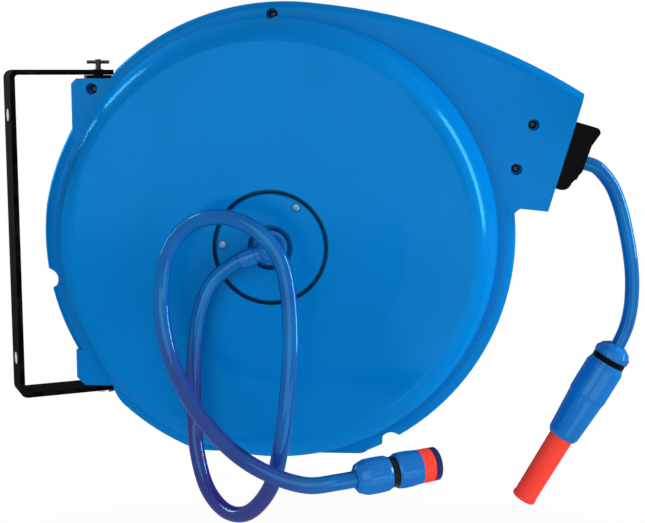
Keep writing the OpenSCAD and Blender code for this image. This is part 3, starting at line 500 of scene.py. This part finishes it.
class Pattern:
    """A tree of geometry nodes with named inputs for its sizes."""

    KINDS = {"Material": "NodeSocketMaterial", "Count": "NodeSocketInt", "Turn": "NodeSocketVector"}

    def __init__(self, name, *inputs):
        self.name = name
        self.tree = bpy.data.node_groups.new(name, "GeometryNodeTree")
        face = self.tree.interface
        face.new_socket("Geometry", in_out="OUTPUT", socket_type="NodeSocketGeometry")
        face.new_socket("Geometry", in_out="INPUT", socket_type="NodeSocketGeometry")
        self.keys = {
            key: face.new_socket(
                key, in_out="INPUT", socket_type=self.KINDS.get(key, "NodeSocketFloat")).identifier
            for key in inputs}
        self.given = self.tree.nodes.new("NodeGroupInput").outputs

    def plug(self, socket, value):
        if isinstance(value, bpy.types.NodeSocket):
            self.tree.links.new(value, socket)
        else:
            socket.default_value = value

    def node(self, kind, settings=None, inputs=None, output=0):
        """Adds a node; an input that is a list takes several links."""
        made = self.tree.nodes.new(kind)
        for key, value in (settings or {}).items():
            setattr(made, key, value)
        for key, value in (inputs or {}).items():
            for one in value if isinstance(value, list) else [value]:
                self.plug(made.inputs[key], one)
        return made.outputs[output]

    def maths(self, operation, first, second):
        return self.node("ShaderNodeMath", {"operation": operation}, {0: first, 1: second})

    def vector(self, x, y, z):
        return self.node("ShaderNodeCombineXYZ", {}, {0: x, 1: y, 2: z})

    def finish(self, instances):
        """Ends the tree in plain geometry with its material."""
        real = self.node("GeometryNodeRealizeInstances", {}, {0: instances})
        dressed = self.node("GeometryNodeSetMaterial", {}, {0: real, "Material": self.given["Material"]})
        end = self.tree.nodes.new("NodeGroupOutput")
        self.tree.links.new(dressed, end.inputs[0])

    def mesh(self, points, **values):
        """The pattern on some points, as a plain mesh."""
        cloud = bpy.data.meshes.new(self.name)
        cloud.from_pydata([tuple(point) for point in points], [], [])
        holder = bpy.data.objects.new(self.name, cloud)
        bpy.context.scene.collection.objects.link(holder)
        nodes = holder.modifiers.new(self.name, "NODES")
        nodes.node_group = self.tree
        for key, value in values.items():
            nodes[self.keys[key]] = value
        graph = bpy.context.evaluated_depsgraph_get()
        made = bpy.data.meshes.new_from_object(holder.evaluated_get(graph))
        holder.modifiers.remove(nodes)
        bpy.data.objects.remove(holder)
        bpy.data.meshes.remove(cloud)
        return made


def screw_pattern():
    """Domed screws with a cross recess, each turned by chance."""
    pattern = Pattern("cross_screws", "Radius", "Shank", "Turn", "Material")
    radius = pattern.given["Radius"]

    def times(factor):
        return pattern.maths("MULTIPLY", radius, factor)

    ball = pattern.node("GeometryNodeMeshUVSphere", {}, {"Segments": 32, "Rings": 16, "Radius": 1.0})
    dome = pattern.node("GeometryNodeTransform", {}, {
        "Geometry": ball, "Scale": pattern.vector(radius, radius, times(0.5))})
    below = pattern.node("GeometryNodeMeshCube", {}, {
        "Size": pattern.vector(times(4.0), times(4.0), times(2.0))})
    under = pattern.node("GeometryNodeTransform", {}, {
        "Geometry": below, "Translation": pattern.vector(0.0, 0.0, times(-1.0))})
    wide, long = times(0.24), times(1.15)
    slots = []
    for size in ((wide, long), (long, wide)):
        slot = pattern.node("GeometryNodeMeshCube", {}, {
            "Size": pattern.vector(size[0], size[1], times(0.5))})
        slots.append(pattern.node("GeometryNodeTransform", {}, {
            "Geometry": slot, "Translation": pattern.vector(0.0, 0.0, times(0.45))}))
    head = pattern.node("GeometryNodeMeshBoolean", {"operation": "DIFFERENCE"}, {
        "Mesh 1": dome, "Mesh 2": [under] + slots})
    stem = pattern.node("GeometryNodeMeshCylinder", {}, {
        "Vertices": 16, "Radius": times(0.5), "Depth": pattern.given["Shank"]})
    shank = pattern.node("GeometryNodeTransform", {}, {
        "Geometry": stem, "Translation": pattern.vector(
            0.0, 0.0, pattern.maths("MULTIPLY", pattern.given["Shank"], -0.5))})
    screw = pattern.node("GeometryNodeJoinGeometry", {}, {0: [head, shank]})
    placed = pattern.node("GeometryNodeInstanceOnPoints", {}, {
        "Points": pattern.given["Geometry"], "Instance": screw, "Rotation": pattern.given["Turn"]})
    chance = pattern.node("FunctionNodeRandomValue", {"data_type": "FLOAT"},
                          {2: 0.0, 3: math.pi, "Seed": 4}, output=1)
    turned = pattern.node("GeometryNodeRotateInstances", {}, {
        "Instances": placed, "Rotation": pattern.vector(0.0, 0.0, chance), "Local Space": True})
    pattern.finish(turned)
    return pattern


def rib_pattern():
    """Rounded ribs round an upright axis."""
    pattern = Pattern("grip_ribs", "Count", "Radius", "Length", "Width", "Height", "Material")
    given = pattern.given
    ball = pattern.node("GeometryNodeMeshUVSphere", {}, {"Segments": 10, "Rings": 10, "Radius": 1.0})
    rib = pattern.node("GeometryNodeTransform", {}, {
        "Geometry": ball, "Scale": pattern.vector(given["Height"], given["Width"], given["Length"])})
    soft = pattern.node("GeometryNodeSetShadeSmooth", {}, {0: rib})
    ring = pattern.node("GeometryNodeMeshCircle", {}, {
        "Vertices": given["Count"], "Radius": given["Radius"]})
    outward = pattern.node("GeometryNodeInputPosition")
    facing = pattern.node("FunctionNodeAlignRotationToVector", {"axis": "X", "pivot_axis": "Z"}, {
        "Vector": outward})
    placed = pattern.node("GeometryNodeInstanceOnPoints", {}, {
        "Points": ring, "Instance": soft, "Rotation": facing})
    pattern.finish(placed)
    return pattern


def new_object(name, mesh, material):
    """A new piece with its place in its mesh."""
    piece = bpy.data.objects.new(name, mesh)
    bpy.context.scene.collection.objects.link(piece)
    mesh.materials.clear()
    mesh.materials.append(material)
    return piece


def smooth_route(points, steps):
    """A smooth curve through all the points."""
    last = len(points) - 1
    curve = []
    for i in range(last):
        a, b = points[max(i - 1, 0)], points[i]
        c, d = points[i + 1], points[min(i + 2, last)]
        for k in range(steps):
            t = k / steps
            curve.append(0.5 * (2 * b + (c - a) * t + (2 * a - 5 * b + 4 * c - d) * t * t
                                + (3 * b - a - 3 * c + d) * t ** 3))
    curve.append(points[last])
    return curve


def route_length(path):
    """The length of a path of straight steps."""
    return sum((path[i + 1] - path[i]).length for i in range(len(path) - 1))


def hose_mesh(name, path, radius, sides):
    """A closed tube along a path, with a UV map in metres along and turns around."""
    mesh = bpy.data.meshes.new(name)
    build = bmesh.new()
    uv = build.loops.layers.uv.new("UVMap")
    rings, reach, far = [], [], 0.0
    heading = (path[1] - path[0]).normalized()
    side = heading.orthogonal().normalized()
    for i, point in enumerate(path):
        ahead = (path[min(i + 1, len(path) - 1)] - path[max(i - 1, 0)]).normalized()
        side = heading.rotation_difference(ahead) @ side
        heading = ahead
        up = heading.cross(side)
        if i:
            far += (point - path[i - 1]).length
        reach.append(far)
        rings.append([
            build.verts.new(point + radius * (math.cos(a) * side + math.sin(a) * up))
            for a in (math.tau * k / sides for k in range(sides))])
    for i in range(len(rings) - 1):
        for k in range(sides):
            n = (k + 1) % sides
            face = build.faces.new((rings[i][k], rings[i][n], rings[i + 1][n], rings[i + 1][k]))
            face.smooth = True
            spots = ((reach[i], k), (reach[i], k + 1), (reach[i + 1], k + 1), (reach[i + 1], k))
            for loop, (u, v) in zip(face.loops, spots):
                loop[uv].uv = (u, v / sides)
    build.faces.new(list(reversed(rings[0])))
    build.faces.new(rings[-1])
    build.to_mesh(mesh)
    build.free()
    return mesh


class HOSEREEL_OT_hoses(bpy.types.Operator):
    """Makes the inlet, outlet and wound hoses"""

    bl_idname = "hosereel.hoses"
    bl_label = "Make the hoses"

    def execute(self, context):
        sizes = context.scene.hose_reel_sizes
        colours = context.scene.hose_reel_colours
        self.radius = sizes.hose_diameter / 2
        self.sides = sizes.hose_sides
        self.finish = flexible_hose("glossy_hose", colours.hose, colours.hose_deep, colours.hose_low_shade)
        self.inlet(sizes)
        self.outlet(sizes)
        self.lead(sizes)
        self.winding()
        return {"FINISHED"}

    def tube(self, name, path, body, *nodes):
        """A hose along a path, in place of its solid nodes."""
        piece = new_object(name, hose_mesh(name, path, self.radius, self.sides), self.finish)
        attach(piece, body)
        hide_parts(*nodes)
        return piece

    def inlet(self, sizes):
        """The inlet hose, from the elbow through its loop to the connector."""
        turn = math.radians(ELBOW_TURN)
        starts = [ELBOW_SEAT, ELBOW_SEAT + sizes.hose_diameter / MM]
        corners = [(s * math.cos(turn), 0.0, s * math.sin(turn)) for s in starts] + INLET_ROUTE
        places = [at_reel(across, -ELBOW_FRONT - front, up) for across, front, up in corners]
        path = smooth_route(places + [connector_place(CONNECTOR_SEAT)], sizes.steps)
        piece = self.tube("inlet_hose_bend", path, "housing", "inlet_hose")
        round(route_length(path), 3)

    def outlet(self, sizes):
        """The outlet hose, from the mouth to the nozzle."""
        turn = math.radians(NOZZLE_TURN)
        across, up = NOZZLE_FROM
        seat = (across + NOZZLE_SEAT * math.sin(turn), up + NOZZLE_SEAT * math.cos(turn))
        straight = [at_mouth(out, WINDOW_MIDDLE) for out in (0, 10, 20)]
        corners = straight + OUTLET_ROUTE + [NOZZLE_FROM, seat]
        path = smooth_route([at_reel(a, 0.0, u) for a, u in corners], sizes.steps)
        piece = self.tube("outlet_hose_bend", path, "housing", "outlet_hose")
        round(route_length(path), 3)

    def lead(self, sizes):
        """The hose inside the housing, from the drum to the mouth."""
        across, up = at_mouth(0, WINDOW_MIDDLE)
        angle = math.atan2(up, across) + math.acos(LEAD_RADIUS / math.hypot(across, up))
        corners = [(LEAD_RADIUS * math.cos(angle), LEAD_RADIUS * math.sin(angle))]
        corners += [at_mouth(out, WINDOW_MIDDLE) for out in (-40, -20, 0)]
        path = [at_reel(a, 0.0, u) for a, u in corners]
        self.tube("lead_hose_run", smooth_route(path, sizes.steps), "housing", "hose_lead")

    def winding(self):
        """The layer of hose that is wound on the drum."""
        path = []
        for i in range(WINDING_TURNS * WINDING_STEPS + 1):
            angle = math.tau * i / WINDING_STEPS
            back = WINDING_PITCH * (i / WINDING_STEPS - WINDING_TURNS / 2)
            path.append(at_reel(WINDING_RADIUS * math.cos(angle), back, WINDING_RADIUS * math.sin(angle)))
        self.tube("wound_hose", path, "drum", "hose_winding", "hose_core")


class HOSEREEL_OT_finishes(bpy.types.Operator):
    """Gives every solid piece its finish"""

    bl_idname = "hosereel.finishes"
    bl_label = "Finish the solid pieces"

    def execute(self, context):
        colours = context.scene.hose_reel_colours
        half_bar = max(abs(corner[1]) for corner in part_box("bracket"))
        by_slot = {
            "housing_blue": moulded(
                "housing_moulding", colours.housing, lacquer=HOUSING_LACQUER, seam=HUB_SEAM),
            "fitting_blue": moulded(
                "fitting_moulding", colours.fitting, grain=0.02, lacquer=FITTING_LACQUER),
            "fitting_red": moulded(
                "red_moulding", colours.release, grain=0.015, lacquer=RED_LACQUER),
            "black_plastic": moulded("black_moulding", (0.002, 0.002, 0.0025), 0.4, 0.025, 0.1),
            "grey_plastic": moulded("spool_moulding", (0.07, 0.075, 0.08), 0.5, 0.2, 0.1),
            "roller_grey": moulded("roller_moulding", (0.03, 0.03, 0.032), 0.4, 0.25, 0.08),
            "zinc_steel": plated("zinc_plate", (0.62, 0.63, 0.64)),
            "screw_steel": plated("blackened_steel", (0.05, 0.05, 0.055), 0.4),
            "spring_steel": plated("spring_steel", (0.36, 0.37, 0.39), 0.25),
            "brass": plated("turned_brass", (0.62, 0.44, 0.15), 0.28),
            "bracket_steel": coated_bar("powder_coat", half_bar),
            "seal_rubber": rubbery("seal_rubber", (0.006, 0.006, 0.006)),
        }
        for part in frame["record"]["subparts"]:
            finish = by_slot.get(part["material_slot"])
            if finish:
                self.dress(part["node"], finish)
        dark = plated("dark_plate", (0.035, 0.035, 0.037), 0.4)
        for name in ("lock_pin", "pin_handle"):
            self.dress(name, dark)
        # Painted reflection: the hub screws' zinc is tinted deep blue, standing in for the blue housing reflected
        # in their heads
        self.dress("hub_screws", plated("zinc_with_painted_blue_reflection", (0.10, 0.25, 0.43), 0.4))
        self.dress("connector_core", two_tone(
            "connector_core_moulding", (0.003, 0.003, 0.0035), colours.rim,
            connector_place(CONNECTOR_RIM), connector_axis()))
        return {"FINISHED"}

    def dress(self, name, finish):
        """Gives a solid piece one finish all over."""
        for slot in NODES[name].material_slots:
            slot.material = finish


class HOSEREEL_OT_screws(bpy.types.Operator):
    """Makes the cross-recessed screws of the hub and of the shells"""

    bl_idname = "hosereel.screws"
    bl_label = "Make the screws"

    def execute(self, context):
        self.radius = context.scene.hose_reel_sizes.screw_radius
        self.pattern = screw_pattern()
        hub = [on_ring(HUB_SCREW_RING, turn) for turn in HUB_SCREW_TURNS]
        shell = [on_ring(BAND_SCREW_RING, turn) for turn in BAND_SCREW_TURNS]
        shell += [at_mouth(*spot) for spot in SNOUT_SCREWS] + [SET_SCREW]
        self.screws("hub_cross_screws", hub, HUB_SCREW_SEAT, "hub_screws", "zinc_steel")
        self.screws("shell_cross_screws", shell, SHELL_SCREW_SEAT, "shell_screws", "screw_steel")
        return {"FINISHED"}

    def screws(self, name, spots, seat, node, slot):
        """A group of like screws, in place of their solid node."""
        finish = NODES[node].material_slots[0].material
        points = [at_reel(across, -seat, up) for across, up in spots]
        turn = (-REEL_BACK).to_track_quat("Z", "Y").to_euler()
        mesh = self.pattern.mesh(
            points, Radius=self.radius, Shank=SCREW_SHANK * MM, Turn=turn, Material=finish)
        piece = new_object(name, mesh, finish)
        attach(piece, "housing")
        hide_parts(node)


class HOSEREEL_OT_grips(bpy.types.Operator):
    """Makes the ribs on the hose nuts and on the connector's collar"""

    bl_idname = "hosereel.grips"
    bl_label = "Make the grip ribs"

    def execute(self, context):
        sizes = context.scene.hose_reel_sizes
        finish = NODES["nozzle_nut"].material_slots[0].material
        pattern = rib_pattern()
        stands = {
            "nozzle": self.stand(at_reel(NOZZLE_FROM[0], 0.0, NOZZLE_FROM[1]), turn_in_plane(NOZZLE_TURN)),
            "connector": self.stand(connector_place(0), connector_axis()),
        }
        for name, body, fitting, start, end, radius, width in GRIPS:
            mesh = pattern.mesh(
                [], Count=sizes.grip_ribs, Radius=radius * MM, Length=(end - start) / 2 * MM,
                Width=width * MM, Height=sizes.rib_height, Material=finish)
            mesh.transform(stands[fitting] @ Matrix.Translation((0.0, 0.0, (start + end) / 2 * MM)))
            piece = new_object(name, mesh, finish)
            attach(piece, body)
        return {"FINISHED"}

    def stand(self, origin, axis):
        """The place of a fitting at an origin, upright along an axis."""
        side = REEL_UP.cross(axis).normalized()
        return Matrix.Translation(origin) @ Matrix((side, axis.cross(side), axis)).transposed().to_4x4()


class HOSEREEL_OT_stage(bpy.types.Operator):
    """Sets the floor, light and camera"""

    bl_idname = "hosereel.stage"
    bl_label = "Set the stage"

    def execute(self, context):
        self.camera(context.scene)
        self.world(context.scene)
        self.floor()
        for name, spot, wide, tall, power in LAMPS:
            self.softbox(name, at_reel(*spot), wide, tall, power)
        context.scene.view_settings.view_transform = "Standard"
        return {"FINISHED"}

    def camera(self, scene):
        """A camera at the photograph's viewing angle."""
        lens = bpy.data.cameras.new("photo_camera")
        lens.lens = CAMERA_LENS
        lens.sensor_width = 36.0
        lens.clip_end = 50.0
        stand = bpy.data.objects.new("photo_camera", lens)
        scene.collection.objects.link(stand)
        stand.location = at_reel(*CAMERA_SPOT)
        aim = at_reel(*CAMERA_AIM) - stand.location
        stand.rotation_euler = aim.to_track_quat("-Z", "Y").to_euler()
        scene.camera = stand

    def seen(self, finish):
        """One for rays that show the background: camera, mirror and glass."""
        path = finish.node("ShaderNodeLightPath", output="Is Camera Ray")
        shine = Value(finish, path.socket.node.outputs["Is Glossy Ray"])
        through = Value(finish, path.socket.node.outputs["Is Transmission Ray"])
        return path.greater(shine).greater(through)

    def world(self, scene):
        """A soft grey surround that the camera and reflections see as white."""
        world = bpy.data.worlds.new("studio")
        world.use_nodes = True
        studio = Finish.of_tree(world.node_tree)
        white = (1.0, 1.0, 1.0, 1.0)
        light = studio.node("ShaderNodeBackground", {}, {"Color": white, "Strength": SURROUND_LIGHT})
        backdrop = studio.node("ShaderNodeBackground", {}, {"Color": white, "Strength": 1.0})
        both = studio.node("ShaderNodeMixShader", {}, {0: self.seen(studio), 1: light, 2: backdrop})
        studio.node("ShaderNodeOutputWorld", {}, {"Surface": both})
        scene.world = world

    def floor(self):
        """A pale floor well below the reel, which fades into the white surround."""
        mesh = bpy.data.meshes.new("floor")
        signs = ((-1, -1), (1, -1), (1, 1), (-1, 1))
        corners = [(FLOOR_HALF * x, FLOOR_HALF * y, FLOOR_LEVEL) for x, y in signs]
        mesh.from_pydata(corners, [], [(0, 1, 2, 3)])
        finish = Finish("pale_floor")
        shaded = finish.node("ShaderNodeBsdfDiffuse", {}, {"Color": (0.9, 0.9, 0.9, 1.0)})
        glow = finish.node("ShaderNodeEmission", {}, {"Color": (1.0, 1.0, 1.0, 1.0), "Strength": 1.0})
        spot = finish.node("ShaderNodeTexCoord", output="Object")
        centre = (REEL_CENTRE.x, REEL_CENTRE.y, FLOOR_LEVEL)
        away = finish.node("ShaderNodeVectorMath", {"operation": "DISTANCE"}, {0: spot, 1: centre},
                           output="Value")
        fade = finish.ramp(away, 0.5, 1.6, 0.7, 1.0)
        both = finish.node("ShaderNodeMixShader", {}, {0: self.seen(finish) * fade, 1: shaded, 2: glow})
        finish.node("ShaderNodeOutputMaterial", {}, {"Surface": both})
        new_object("floor", mesh, finish.material)

    def softbox(self, name, spot, wide, tall, power):
        """A rectangular lamp that is aimed at the reel's middle."""
        lamp = bpy.data.lights.new(name, "AREA")
        lamp.shape = "RECTANGLE"
        lamp.size = wide
        lamp.size_y = tall
        lamp.energy = power
        stand = bpy.data.objects.new(name, lamp)
        bpy.context.scene.collection.objects.link(stand)
        stand.location = spot
        stand.rotation_euler = (REEL_CENTRE - spot).to_track_quat("-Z", "Y").to_euler()


class HOSEREEL_PT_panel(bpy.types.Panel):
    """Lists the steps and the values they use"""

    bl_idname = "HOSEREEL_PT_panel"
    bl_label = "Hose Reel"
    bl_space_type = "VIEW_3D"
    bl_region_type = "UI"
    bl_category = "Hose Reel"

    def draw(self, context):
        for group in (context.scene.hose_reel_sizes, context.scene.hose_reel_colours):
            for key in group.__annotations__:
                self.layout.prop(group, key)
        for step in STEPS:
            self.layout.operator(step.bl_idname)


STEPS = (
    HOSEREEL_OT_stage, HOSEREEL_OT_hoses, HOSEREEL_OT_finishes, HOSEREEL_OT_screws, HOSEREEL_OT_grips)
CLASSES = (HoseReelSizes, HoseReelColours) + STEPS + (HOSEREEL_PT_panel,)


def register():
    for cls in CLASSES:
        bpy.utils.register_class(cls)
    bpy.types.Scene.hose_reel_sizes = bpy.props.PointerProperty(type=HoseReelSizes)
    bpy.types.Scene.hose_reel_colours = bpy.props.PointerProperty(type=HoseReelColours)


def unregister():
    del bpy.types.Scene.hose_reel_colours
    del bpy.types.Scene.hose_reel_sizes
    for cls in reversed(CLASSES):
        bpy.utils.unregister_class(cls)


def main():
    register()
    for step in STEPS:
        group, name = step.bl_idname.split(".")
        getattr(getattr(bpy.ops, group), name)()


if __name__ == "__main__":
    main()
